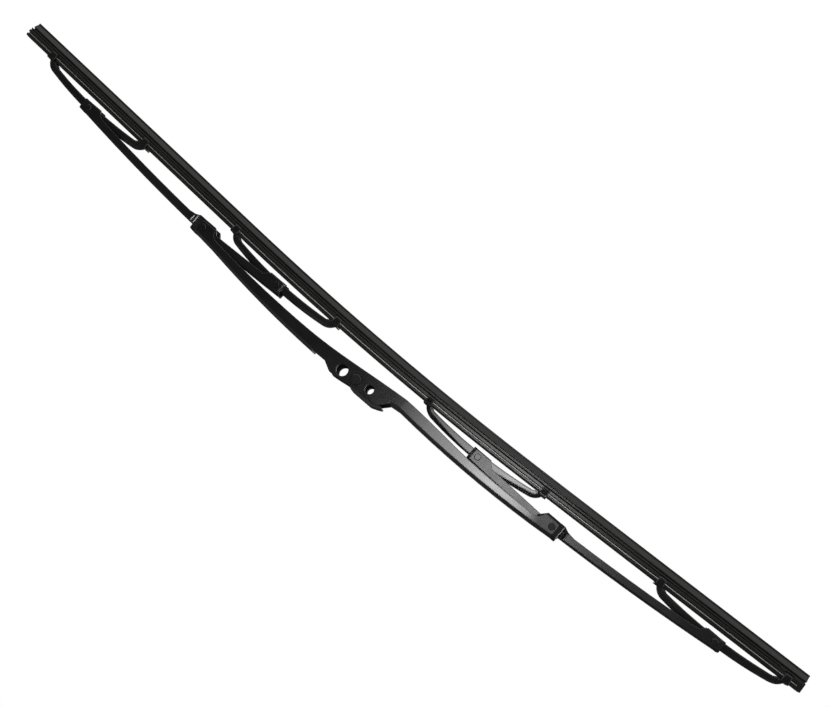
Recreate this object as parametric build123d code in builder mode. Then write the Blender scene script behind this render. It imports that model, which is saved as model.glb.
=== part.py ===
"""Bracket wiper blade: a primary yoke, two secondary yokes and four claws hold a rubber element.

The origin is the middle of the bore for the arm's side pin, in the hub of the primary yoke.
X runs along the blade, Y across it, and +Z points away from the glass. Sizes are in millimetres.
"""

import os
from math import asin, cos, radians, tan

from build123d import *

os.makedirs("parts", exist_ok=True)

# Layout along the blade, as distances from its middle, which lies beside the side-pin bore
MIDDLE_X = -12.2
MAIN_PIVOT_REACH = 120.2
MAIN_PIVOT_Z = -9.2
OUTER_CLAW_REACH = 215.4
INNER_CLAW_REACH = 69.4

# Wiping element: the line of the head's top, a middle arc with straight wings
HEAD_TOP_Z = -15.7
BOW_RADIUS = 2000.0
BOW_ARC_REACH = 100.0
LOCKED_OVERHANG = 8.6
FREE_OVERHANG = 21.4

# Rubber section, as depths below the head's top and half widths
HEAD_HALF_WIDTH = 2.65
HEAD_DEPTH = 1.6
SLOT_FLOOR_HALF_WIDTH = 1.5
SEAT_HALF_WIDTH = 3.0
SEAT_THICKNESS = 0.6
WEB_HALF_WIDTH = 2.0
GRIP_GROOVE_DEPTH = 1.5
WING_HALF_WIDTH = 3.0
WING_THICKNESS = 0.7
NECK_HALF_WIDTH = 0.6
NECK_HEIGHT = 0.75
SHOULDER_HALF_WIDTH = 1.9
SHOULDER_HEIGHT = 0.6
LIP_HEIGHT = 3.4
LIP_HALF_WIDTH = 0.4

# Spring rails and the moulded closed end of the rubber
RAIL_THICKNESS = 0.8
RAIL_HALF_SPAN = 3.4
RAIL_LEFT_INSET = 3.2
RAIL_RIGHT_INSET = 1.8
END_BLOCK_GAP = 0.2
LOCK_BUMP_LENGTH = 3.0

# Claws: small channel bows with a jaw at each end
CLAW_SPAN = 37.2
CLAW_PIVOT_RISE = 5.75
CLAW_WIDTH = 5.6
CLAW_WALL = 0.8
CLAW_CROWN_RISE = 1.65
CLAW_CROWN_RADIUS = 200.0
CLAW_KEEL_DROP = 2.55
CLAW_KEEL_RADIUS = 245.0
CLAW_KNEE_INSET = 5.4
CLAW_LEG_INSET = 3.6
CLAW_FOOT_INSET = -0.2
CLAW_EDGE = 0.6
JAW_LENGTH = 4.6
JAW_TAPER = 0.5
JAW_DRAFT = 0.4
JAW_WALL = 0.8
JAW_EDGE = 0.55
JAW_PLAY = 0.12
HOOK_THICKNESS = 0.7
HOOK_REACH = 1.3

# Secondary yokes
SECONDARY_WIDTH = 9.1
SECONDARY_WALL = 0.8
SECONDARY_EDGE = 0.75
SECONDARY_CROWN_RISE = 2.6
SECONDARY_CROWN_INSET = 16.2
SECONDARY_INNER_RISE = 3.95
SECONDARY_OUTER_RISE = 3.05
SECONDARY_TIP = 3.0
SECONDARY_ARM_HEIGHT = 4.35
SECONDARY_PAD_DROP = 2.9
SECONDARY_PAD_LENGTH = 6.5
SECONDARY_HEEL_DROP = 3.4
SECONDARY_HEEL_HALF = 6.0
SECONDARY_STEP = 3.2
SECONDARY_CORNER = 0.9

# Primary yoke
PRIMARY_WALL = 1.0
PRIMARY_BEND = 1.5
HUB_WIDTH = 14.4
PAD_WIDTH = 13.0
PAD_TIP = 2.7
PAD_ROOT = 9.2
PAD_HEEL = 6.4
PAD_END_RISE = 4.7
PAD_ROOT_RISE = 5.75
PAD_DROP = 3.05
PAD_STEP = 3.2
PAD_CORNER = 1.0
ARM_STATIONS = 8
LEFT_CROWN_Z = -1.85
LEFT_CROWN_REACH = 60.0
RIGHT_CROWN_Z = 0.98
RIGHT_CROWN_REACH = 70.0
LEFT_KEEL_Z = -7.8
RIGHT_KEEL_Z = -8.1
LEFT_KEEL_CROWN_Z = -7.2
RIGHT_KEEL_CROWN_Z = -5.05

# Hub of the primary yoke, from the side-pin bore
SIDE_PIN_BORE = 6.35
SMALL_BORE = 4.76
SMALL_BORE_X = -17.5
SMALL_BORE_Z = -1.5
CROSS_PIN_X = -8.6
CROSS_PIN_Z = -0.7
CREASE_X = -35.9
CREASE_TOP_Z = -3.15
CREASE_KEEL_Z = -10.0
HUB_KEEL_SLOPE = 0.094
CHEEK_LEFT_X = -29.9
CHEEK_LEFT_Z = -2.5
CHEEK_SHOULDER_X = -25.2
CHEEK_SHOULDER_Z = 2.6
CHEEK_SADDLE_X = -8.0
CHEEK_SADDLE_Z = 3.35
CHEEK_CREST_X = -0.5
CHEEK_CREST_Z = 4.5
CHEEK_PEAK_X = 4.6
CHEEK_PEAK_Z = 5.05
CHEEK_RIGHT_X = 11.4
CHEEK_RIGHT_Z = 1.6
SLOT_END_X = 19.4
SLOT_END_Z = 1.7
RIGHT_ARM_TOP_Z = 2.75

# Pins and rivets
MAIN_RIVET_DIAMETER = 3.2
MAIN_RIVET_HEAD = 3.9
CLAW_RIVET_DIAMETER = 2.0
CLAW_RIVET_HEAD = 3.6
RIVET_HEAD_HEIGHT = 0.55
CROSS_PIN_HEAD_HEIGHT = 0.4
CROSS_PIN_DIAMETER = 4.8
CROSS_PIN_HEAD = 6.1
PIVOT_PLAY = 0.08

# Plastic liners
LINER_PLAY = 0.1
LINER_COLLAR = 2.8
LINER_SLEEVE = 3.4
LINER_SHOW = 1.2
LINER_BRIDGE = 1.6
LINER_TOE = 0.9
LINER_HEEL = 2.9
LINER_HEEL_RISE = 4.1
LINER_RIB_PITCH = 0.8
LINER_RIB_DEPTH = 0.12
LINER_RIBS = 4
CLAW_LINER_COLLAR = 1.4
CLAW_LINER_SHOW = 0.4
CLAW_LINER_BRIDGE = 0.6

# Arm adapter
ADAPTER_PLAY = 0.4
ADAPTER_RING = 2.0
ADAPTER_TOP_Z = 4.7
ADAPTER_LENGTH = 17.3
ADAPTER_NOSE = 1.3
ADAPTER_TAB = 2.3
ADAPTER_WALL = 1.6
ADAPTER_MOUTH = 3.6
BORE_MARGIN = 0.4

# Reach of cutters past the piece that they cut
PAST = 12.0

SIDES = {"left": -1, "right": 1}

left_end_reach = OUTER_CLAW_REACH + CLAW_SPAN + LOCKED_OVERHANG
right_end_reach = OUTER_CLAW_REACH + CLAW_SPAN + FREE_OVERHANG
rail_depth = HEAD_DEPTH + RAIL_THICKNESS
seat_depth = rail_depth + SEAT_THICKNESS
wing_depth = seat_depth + GRIP_GROOVE_DEPTH
neck_depth = wing_depth + WING_THICKNESS
shoulder_depth = neck_depth + NECK_HEIGHT
taper_depth = shoulder_depth + SHOULDER_HEIGHT
lip_depth = taper_depth + LIP_HEIGHT
pad_half = PAD_WIDTH / 2
pad_inner_half = pad_half - PRIMARY_WALL
hub_half = HUB_WIDTH / 2
hub_inner_half = hub_half - PRIMARY_WALL
secondary_half = SECONDARY_WIDTH / 2
secondary_inner_half = secondary_half - SECONDARY_WALL
claw_half = CLAW_WIDTH / 2


def element_point(distance):
    """Point (x, z) on the line of the head's top, at a signed distance from the middle."""
    reach = min(abs(distance), BOW_ARC_REACH)
    turn = asin(reach / BOW_RADIUS)
    drop = BOW_RADIUS * (1 - cos(turn)) + (abs(distance) - reach) * tan(turn)
    return MIDDLE_X + distance, HEAD_TOP_Z - drop


def claw_plane(distance):
    """Side plane of a claw: its origin is the rivet, and its x axis the chord between the jaws."""
    left_x, left_z = element_point(distance - CLAW_SPAN)
    right_x, right_z = element_point(distance + CLAW_SPAN)
    along = Vector(right_x - left_x, 0, right_z - left_z).normalized()
    middle = Vector((left_x + right_x) / 2, 0, (left_z + right_z) / 2)
    rise = Vector(-along.Z, 0, along.X) * CLAW_PIVOT_RISE
    return Plane(origin=middle + rise, x_dir=along, z_dir=(0, -1, 0))


def element_sweep(left_distance, right_distance, outline):
    """Sweep a closed section along the line of the head's top; the section's y is height."""
    corners = [-BOW_ARC_REACH, 0, BOW_ARC_REACH]
    left, arc_left, middle, arc_right, right = [
        element_point(d) for d in (left_distance, *corners, right_distance)
    ]
    with BuildLine(Plane.XZ) as path:
        Line(left, arc_left)
        ThreePointArc(arc_left, middle, arc_right)
        Line(arc_right, right)
    start = Plane(origin=path.line @ 0, x_dir=(0, 1, 0), z_dir=path.line % 0)
    with BuildPart() as swept:
        with BuildSketch(start):
            with BuildLine():
                Polyline(*outline, close=True)
            make_face()
        sweep(path=path.line)
    return swept.part


def rivet(x, z, diameter, head, grip, height):
    """A rivet across the blade, with a flat head on each side of the grip."""
    with BuildPart() as made:
        with BuildSketch(Plane.XZ):
            with Locations((x, z)):
                Circle(diameter / 2)
        extrude(amount=grip / 2, both=True)
        for offset in (grip / 2, -grip / 2 - height):
            with BuildSketch(Plane.XZ.offset(offset)):
                with Locations((x, z)):
                    Circle(head / 2)
            extrude(amount=height)
    return made.part


# Spring rails: flat strips in the side slots of the rubber's head
rails_left = RAIL_LEFT_INSET - left_end_reach
rails_right = right_end_reach - RAIL_RIGHT_INSET
rails = {}
for name, sign in (("rail_front", -1), ("rail_rear", 1)):
    rail_outline = [
        (sign * SLOT_FLOOR_HALF_WIDTH, -HEAD_DEPTH),
        (sign * RAIL_HALF_SPAN, -HEAD_DEPTH),
        (sign * RAIL_HALF_SPAN, -rail_depth),
        (sign * SLOT_FLOOR_HALF_WIDTH, -rail_depth),
    ]
    with BuildPart() as rail:
        add(element_sweep(rails_left, rails_right, rail_outline))
    rails[name] = rail.part
    rail.part.label = name
    export_step(rail.part, f"parts/{name}.step")

# Rubber element: one extrusion with a closed, moulded left end that locks the outer jaw
rubber_half = [
    (HEAD_HALF_WIDTH, 0),
    (HEAD_HALF_WIDTH, -HEAD_DEPTH),
    (SLOT_FLOOR_HALF_WIDTH, -HEAD_DEPTH),
    (SLOT_FLOOR_HALF_WIDTH, -rail_depth),
    (SEAT_HALF_WIDTH, -rail_depth),
    (SEAT_HALF_WIDTH, -seat_depth),
    (WEB_HALF_WIDTH, -seat_depth),
    (WEB_HALF_WIDTH, -wing_depth),
    (WING_HALF_WIDTH, -wing_depth),
    (WING_HALF_WIDTH, -neck_depth),
    (NECK_HALF_WIDTH, -neck_depth),
    (NECK_HALF_WIDTH, -shoulder_depth),
    (SHOULDER_HALF_WIDTH, -shoulder_depth),
    (SHOULDER_HALF_WIDTH, -taper_depth),
    (LIP_HALF_WIDTH, -lip_depth),
]
rubber_outline = rubber_half + [(-y, z) for y, z in reversed(rubber_half)]
left_jaw = -OUTER_CLAW_REACH - CLAW_SPAN
jaw_half = JAW_LENGTH / 2
with BuildPart() as rubber_element:
    add(element_sweep(-left_end_reach, right_end_reach, rubber_outline))
    end_x, end_z = element_point(-left_end_reach)
    wing_x, wing_z = element_point(-BOW_ARC_REACH)
    wing_dir = Vector(wing_x - end_x, 0, wing_z - end_z).normalized()
    end_plane = Plane(origin=(end_x, 0, end_z), x_dir=wing_dir, z_dir=(0, -1, 0))
    block_end = left_end_reach + left_jaw - jaw_half - END_BLOCK_GAP
    bump_start = left_end_reach + left_jaw + jaw_half + END_BLOCK_GAP
    with BuildSketch(end_plane):
        with BuildLine():
            Polyline((0, 0), (block_end, 0), (block_end, -wing_depth), (0, -wing_depth), (0, 0))
        make_face()
        with BuildLine():
            Polyline(
                (bump_start, -seat_depth),
                (bump_start + LOCK_BUMP_LENGTH, -seat_depth),
                (bump_start + LOCK_BUMP_LENGTH, -wing_depth),
                (bump_start, -wing_depth),
                (bump_start, -seat_depth),
            )
        make_face()
    extrude(amount=SEAT_HALF_WIDTH, both=True)
    for rail_solid in rails.values():
        add(rail_solid, mode=Mode.SUBTRACT)
rubber_element.part.label = "rubber_element"
export_step(rubber_element.part, "parts/rubber_element.step")

# Claws: pressed bows, with a jaw at each end that wraps the rails and hooks under the rubber's seat
knee_x = CLAW_SPAN - CLAW_KNEE_INSET
leg_x = CLAW_SPAN - CLAW_LEG_INSET
foot_x = CLAW_SPAN - CLAW_FOOT_INSET
plate_z = JAW_PLAY - CLAW_PIVOT_RISE
plate_top = plate_z + JAW_WALL
hook_top = -CLAW_PIVOT_RISE - seat_depth - JAW_PLAY
hook_z = hook_top - HOOK_THICKNESS
jaw_inner = RAIL_HALF_SPAN + JAW_PLAY
jaw_outer = jaw_inner + JAW_WALL
claw_reaches = {
    "claw_outer_left": -OUTER_CLAW_REACH,
    "claw_inner_left": -INNER_CLAW_REACH,
    "claw_inner_right": INNER_CLAW_REACH,
    "claw_outer_right": OUTER_CLAW_REACH,
}


def crown_z(x, inset):
    """Height of the claw's crown line at x, moved inwards by inset."""
    return CLAW_CROWN_RISE - inset - x * x / (2 * CLAW_CROWN_RADIUS)


def keel_z(x):
    """Height of the lower edge of the claw's side walls at x."""
    return -CLAW_KEEL_DROP - x * x / (2 * CLAW_KEEL_RADIUS)


for name, reach in claw_reaches.items():
    side = claw_plane(reach)
    with BuildPart() as claw:
        with BuildSketch(side):
            with BuildLine():
                knee = (knee_x, crown_z(knee_x, 0))
                left_knee = (-knee_x, crown_z(knee_x, 0))
                crown = ThreePointArc(left_knee, (0, CLAW_CROWN_RISE), knee)
                right_leg = TangentArc(knee, (foot_x, plate_top), tangent=crown % 1)
                left_leg = TangentArc(left_knee, (-foot_x, plate_top), tangent=(crown % 0) * -1)
                Polyline((foot_x, plate_top), (foot_x, plate_z), (leg_x, plate_z), (knee_x, keel_z(knee_x)))
                ThreePointArc((knee_x, keel_z(knee_x)), (0, -CLAW_KEEL_DROP), (-knee_x, keel_z(knee_x)))
                Polyline((-knee_x, keel_z(knee_x)), (-leg_x, plate_z), (-foot_x, plate_z), (-foot_x, plate_top))
            make_face()
        extrude(amount=claw_half, both=True)
        outer_edges = [
            e
            for e in claw.edges()
            if e.geom_type == GeomType.CIRCLE
            and side.to_local_coords(e @ 0.5).Y > keel_z(knee_x) + CLAW_WALL
            and side.to_local_coords(e @ 0.5).Y > -CLAW_KEEL_DROP
        ]
        chamfer(outer_edges, length=CLAW_EDGE)
        with BuildSketch(side):
            with BuildLine():
                knee = (knee_x, crown_z(knee_x, CLAW_WALL))
                left_knee = (-knee_x, crown_z(knee_x, CLAW_WALL))
                crown = ThreePointArc(left_knee, (0, CLAW_CROWN_RISE - CLAW_WALL), knee)
                TangentArc(knee, (leg_x, plate_top), tangent=crown % 1)
                TangentArc(left_knee, (-leg_x, plate_top), tangent=(crown % 0) * -1)
                Polyline((leg_x, plate_top), (knee_x, plate_z - PAST), (-knee_x, plate_z - PAST), (-leg_x, plate_top))
            make_face()
        extrude(amount=claw_half - CLAW_WALL, both=True, mode=Mode.SUBTRACT)
        for end in (-1, 1):
            across = Plane(origin=side.from_local_coords((end * CLAW_SPAN, 0, 0)), x_dir=(0, 1, 0), z_dir=side.x_dir)
            with BuildSketch(across):
                with BuildLine():
                    Polyline(
                        (-jaw_inner + HOOK_REACH, hook_top),
                        (-jaw_inner, hook_top),
                        (-jaw_inner, plate_z),
                        (jaw_inner, plate_z),
                        (jaw_inner, hook_top),
                        (jaw_inner - HOOK_REACH, hook_top),
                        (jaw_inner - HOOK_REACH, hook_z),
                        (jaw_outer - JAW_DRAFT, hook_z),
                        (jaw_outer, plate_top - JAW_EDGE),
                        (jaw_outer - JAW_EDGE, plate_top),
                        (JAW_EDGE - jaw_outer, plate_top),
                        (-jaw_outer, plate_top - JAW_EDGE),
                        (JAW_DRAFT - jaw_outer, hook_z),
                        (-jaw_inner + HOOK_REACH, hook_z),
                        close=True,
                    )
                make_face()
            extrude(amount=jaw_half, both=True)
            with BuildSketch(side):
                for flank in (-1, 1):
                    flank_x = end * CLAW_SPAN + flank * jaw_half
                    with BuildLine():
                        Polyline(
                            (flank_x, plate_z),
                            (flank_x, hook_z),
                            (flank_x - flank * JAW_TAPER, hook_z),
                            (flank_x, plate_z),
                        )
                    make_face()
            extrude(amount=PAST, both=True, mode=Mode.SUBTRACT)
        with BuildSketch(side):
            Circle(CLAW_RIVET_DIAMETER / 2 + PIVOT_PLAY)
        extrude(amount=PAST, both=True, mode=Mode.SUBTRACT)
    claw.part.label = name
    export_step(claw.part, f"parts/{name}.step")

    pivot = side.origin
    rivet_name = name.replace("claw_", "claw_rivet_")
    with BuildPart() as claw_rivet:
        add(rivet(pivot.X, pivot.Z, CLAW_RIVET_DIAMETER, CLAW_RIVET_HEAD, SECONDARY_WIDTH, RIVET_HEAD_HEIGHT))
    claw_rivet.part.label = rivet_name
    export_step(claw_rivet.part, f"parts/{rivet_name}.step")

# Secondary yokes: channels that hang on the main rivets and carry a claw at each end
outer_pivot = claw_plane(OUTER_CLAW_REACH).origin
inner_pivot = claw_plane(INNER_CLAW_REACH).origin
outer_pivot_reach = outer_pivot.X - MIDDLE_X
inner_pivot_reach = inner_pivot.X - MIDDLE_X
outer_tip = outer_pivot_reach + SECONDARY_TIP
inner_tip = inner_pivot_reach - SECONDARY_TIP
outer_tip_z = outer_pivot.Z + SECONDARY_OUTER_RISE
inner_tip_z = inner_pivot.Z + SECONDARY_INNER_RISE
crown_reach = MAIN_PIVOT_REACH - SECONDARY_CROWN_INSET
crown_height = MAIN_PIVOT_Z + SECONDARY_CROWN_RISE
heel_z = MAIN_PIVOT_Z - SECONDARY_HEEL_DROP
shoulder_reach = MAIN_PIVOT_REACH + SECONDARY_HEEL_HALF + SECONDARY_STEP * 2
outer_pad_z = outer_pivot.Z - SECONDARY_PAD_DROP
inner_pad_z = inner_pivot.Z - SECONDARY_PAD_DROP
outer_pad_root = outer_pivot_reach - SECONDARY_PAD_LENGTH
inner_pad_root = inner_pivot_reach + SECONDARY_PAD_LENGTH


def yoke_top(side_sign, inset):
    """Points of a secondary's top line, from the inner tip to the outer tip, moved down by inset."""
    shoulder_drop = (shoulder_reach - crown_reach) ** 2 / 980
    stations = [
        (inner_tip, inner_tip_z),
        ((inner_tip + crown_reach) / 2, (inner_tip_z + 3 * crown_height) / 4),
        (crown_reach, crown_height),
        (shoulder_reach, crown_height - shoulder_drop),
        (outer_tip, outer_tip_z),
    ]
    return [(MIDDLE_X + side_sign * reach, z - inset) for reach, z in stations]


for end, side_sign in SIDES.items():
    with BuildPart() as secondary_yoke:
        with BuildSketch(Plane.XZ):
            with BuildLine():
                tip, rise, crown, shoulder, outer = yoke_top(side_sign, 0)
                inner_arc = ThreePointArc(tip, rise, crown)
                shoulder_arc = TangentArc(crown, shoulder, tangent=inner_arc % 1)
                outer_arc = TangentArc(shoulder, outer, tangent=shoulder_arc % 1)
                root, middle = outer_arc @ 0.8, outer_arc @ 0.4
                arm_root = (root.X, root.Y - SECONDARY_ARM_HEIGHT)
                arm_shoulder = (shoulder[0], shoulder[1] - SECONDARY_ARM_HEIGHT)
                step_z = outer_pad_z + SECONDARY_STEP * 0.85
                outer_keel = [
                    (outer_tip, outer_pad_z),
                    (outer_pad_root, outer_pad_z),
                    (outer_pad_root - SECONDARY_STEP, step_z),
                ]
                heel = MAIN_PIVOT_REACH - SECONDARY_HEEL_HALF
                inner_keel = [
                    (MAIN_PIVOT_REACH + SECONDARY_HEEL_HALF, heel_z),
                    (heel, heel_z),
                    (heel - SECONDARY_STEP * 0.7, crown_height - SECONDARY_ARM_HEIGHT * 0.9),
                    (inner_pad_root + SECONDARY_STEP, rise[1] - SECONDARY_ARM_HEIGHT * 1.1),
                    (inner_pad_root, inner_pad_z),
                    (inner_tip, inner_pad_z),
                ]
                FilletPolyline(
                    outer,
                    *[(MIDDLE_X + side_sign * reach, z) for reach, z in outer_keel],
                    arm_root,
                    radius=[SECONDARY_CORNER, 0, 0],
                )
                ThreePointArc(arm_root, (middle.X, middle.Y - SECONDARY_ARM_HEIGHT), arm_shoulder)
                FilletPolyline(
                    arm_shoulder,
                    *[(MIDDLE_X + side_sign * reach, z) for reach, z in inner_keel],
                    tip,
                    radius=[0, 0, 0, 0, 0, SECONDARY_CORNER],
                )
            make_face()
        extrude(amount=secondary_half, both=True)
        crest = [
            e
            for e in secondary_yoke.edges()
            if e.geom_type == GeomType.CIRCLE and e.length > SECONDARY_STEP * 4 and abs(e.tangent_at(0.5).Y) < 0.5
            and (e @ 0.5).Z > heel_z and e.radius > 100
        ]
        chamfer(crest, length=SECONDARY_EDGE)
        with BuildSketch(Plane.XZ):
            with BuildLine():
                tip, rise, crown, shoulder, outer = yoke_top(side_sign, SECONDARY_WALL)
                inner_arc = ThreePointArc(tip, rise, crown)
                shoulder_arc = TangentArc(crown, shoulder, tangent=inner_arc % 1)
                TangentArc(shoulder, outer, tangent=shoulder_arc % 1)
                outward = side_sign * PAST
                Polyline(
                    outer,
                    (outer[0] + outward, outer[1]),
                    (outer[0] + outward, outer_pad_z - PAST),
                    (tip[0] - outward, outer_pad_z - PAST),
                    (tip[0] - outward, tip[1]),
                    tip,
                )
            make_face()
        extrude(amount=secondary_inner_half, both=True, mode=Mode.SUBTRACT)
        with BuildSketch(Plane.XZ):
            with Locations((MIDDLE_X + side_sign * MAIN_PIVOT_REACH, MAIN_PIVOT_Z)):
                Circle(MAIN_RIVET_DIAMETER / 2 + PIVOT_PLAY)
            with Locations(
                (MIDDLE_X + side_sign * outer_pivot_reach, outer_pivot.Z),
                (MIDDLE_X + side_sign * inner_pivot_reach, inner_pivot.Z),
            ):
                Circle(CLAW_RIVET_DIAMETER / 2)
        extrude(amount=PAST, both=True, mode=Mode.SUBTRACT)
    secondary_yoke.part.label = f"secondary_yoke_{end}"
    export_step(secondary_yoke.part, f"parts/secondary_yoke_{end}.step")

# Claw liners: plastic cheeks in the secondary's ends, with a collar that shows past each end
claw_liner_inner = claw_half + LINER_PLAY
claw_liner_wall = secondary_inner_half - claw_liner_inner
claw_liners = {}
for end, side_sign in SIDES.items():
    claw_liners[f"claw_liner_outer_{end}"] = (side_sign, 1, outer_pivot, outer_tip_z, outer_pad_z)
    claw_liners[f"claw_liner_inner_{end}"] = (side_sign, -1, inner_pivot, inner_tip_z, inner_pad_z)
for name, (side_sign, away, pivot, tip_z, pad_z) in claw_liners.items():
    outward = side_sign * away
    pivot_x = MIDDLE_X + side_sign * (pivot.X - MIDDLE_X)
    tip_x = pivot_x + outward * SECONDARY_TIP
    root_x = pivot_x - outward * SECONDARY_PAD_LENGTH
    low_z = pad_z - CLAW_LINER_SHOW
    high_z = tip_z - SECONDARY_WALL - CLAW_LINER_SHOW
    collar_top = tip_z
    with BuildPart() as claw_liner:
        for offset in (claw_liner_inner, -secondary_inner_half):
            with BuildSketch(Plane.XZ.offset(offset)):
                with BuildLine():
                    Polyline((root_x, low_z), (tip_x, low_z), (tip_x, high_z), (root_x, high_z), close=True)
                make_face()
            extrude(amount=claw_liner_wall)
        with BuildSketch(Plane(origin=(tip_x, 0, 0), x_dir=(0, 1, 0), z_dir=(1, 0, 0))):
            with BuildLine():
                Polyline(
                    (-secondary_half, low_z),
                    (-secondary_half, collar_top - SECONDARY_EDGE),
                    (SECONDARY_EDGE - secondary_half, collar_top),
                    (secondary_half - SECONDARY_EDGE, collar_top),
                    (secondary_half, collar_top - SECONDARY_EDGE),
                    (secondary_half, low_z),
                    (claw_liner_inner, low_z),
                    (claw_liner_inner, collar_top - CLAW_LINER_BRIDGE),
                    (-claw_liner_inner, collar_top - CLAW_LINER_BRIDGE),
                    (-claw_liner_inner, low_z),
                    close=True,
                )
            make_face()
        extrude(amount=outward * CLAW_LINER_COLLAR)
        with BuildSketch(Plane.XZ):
            with Locations((pivot_x, pivot.Z)):
                Circle(CLAW_RIVET_DIAMETER / 2)
        extrude(amount=PAST, both=True, mode=Mode.SUBTRACT)
    claw_liner.part.label = name
    export_step(claw_liner.part, f"parts/{name}.step")


# Primary yoke: two lofted channel arms, and a hub of two cheeks that is open above and below
def bent_top(half, top, bend):
    """Points over the top of a pressed channel, from -half to half, with each bend in two flats."""
    cut = bend * (1 - cos(radians(45)))
    right = [(half - bend, top), (half - cut, top - cut), (half, top - bend)]
    return [(-y, z) for y, z in reversed(right)] + right


def channel_section(x, top, half):
    """U section of the primary yoke across the blade at x, open downwards."""
    inner = half - PRIMARY_WALL
    deep = PAST * 2
    with BuildSketch(Plane(origin=(x, 0, top), x_dir=(0, 1, 0), z_dir=(1, 0, 0))) as section:
        with BuildLine():
            Polyline(
                (-half, -deep),
                *bent_top(half, 0, PRIMARY_BEND),
                (half, -deep),
                (inner, -deep),
                (inner, -PRIMARY_WALL),
                (-inner, -PRIMARY_WALL),
                (-inner, -deep),
                close=True,
            )
        make_face()
    return section.sketch


def arm_sections(side_sign, hub_x, hub_z, crown_x, crown_z):
    """Sections of one arm from the hub to the root of its pad, narrowing to the pad's width."""
    root_x = MIDDLE_X + side_sign * (MAIN_PIVOT_REACH - PAD_ROOT)
    with BuildLine():
        top_line = ThreePointArc((hub_x, hub_z), (crown_x, crown_z), (root_x, MAIN_PIVOT_Z + PAD_ROOT_RISE))
    sections = []
    for station in range(ARM_STATIONS + 1):
        point = top_line @ (station / ARM_STATIONS)
        half = hub_half + (pad_half - hub_half) * (point.X - hub_x) / (root_x - hub_x)
        sections.append(channel_section(point.X, point.Y, half))
    return sections


def pad_sections(side_sign):
    """Sections at the two ends of a pad."""
    root_x = MIDDLE_X + side_sign * (MAIN_PIVOT_REACH - PAD_ROOT)
    end_x = MIDDLE_X + side_sign * (MAIN_PIVOT_REACH + PAD_TIP)
    return [
        channel_section(root_x, MAIN_PIVOT_Z + PAD_ROOT_RISE, pad_half),
        channel_section(end_x, MAIN_PIVOT_Z + PAD_END_RISE, pad_half),
    ]


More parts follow.
